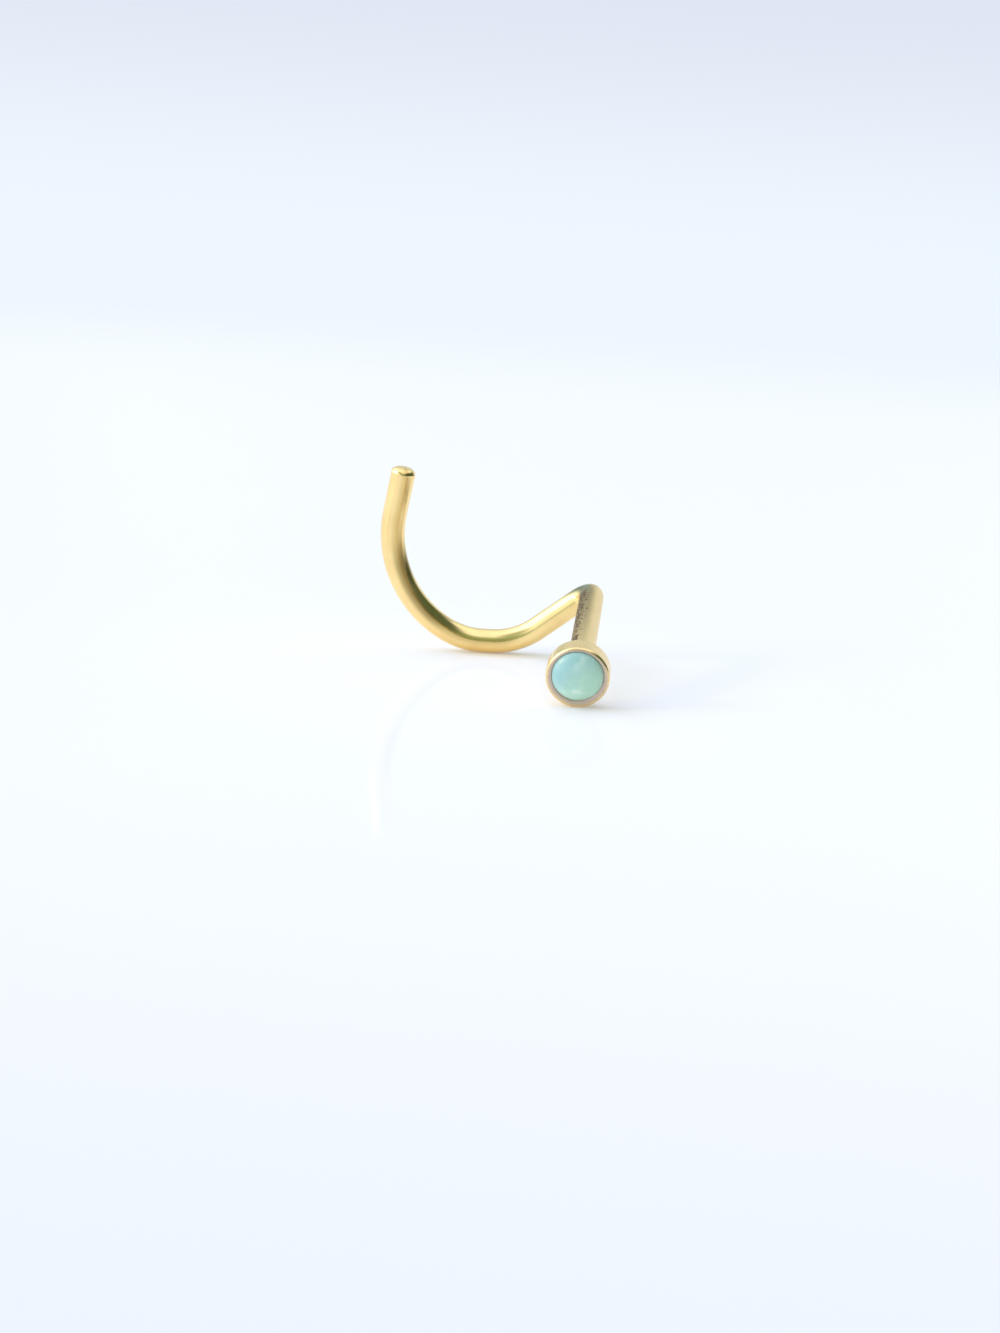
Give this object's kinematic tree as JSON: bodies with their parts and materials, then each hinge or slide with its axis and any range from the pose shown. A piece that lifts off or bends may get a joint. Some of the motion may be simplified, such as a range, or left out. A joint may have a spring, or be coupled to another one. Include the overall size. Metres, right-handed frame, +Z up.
{
  "type": "nose stud",
  "caption": "Nostril screw with a small round cabochon in a closed cup setting, on a straight post that bends into a curved hook.",
  "frame": {"origin": "middle of the footprint, on the surface that the stud rests on", "axes": "+Z up from that surface; +Y from the setting along the post to the hook, level with the surface; +X towards the post's side, away from the hook's tip"},
  "size_m": [0.0082, 0.0084, 0.0063],
  "materials": {
    "gold": "polished gold-filled wire and cup over a brass core",
    "stone": "polished mint-blue cabochon"
  },
  "bodies": {
    "root": {"nose_screw": "gold", "cabochon": "stone"}
  },
  "joints": []
}
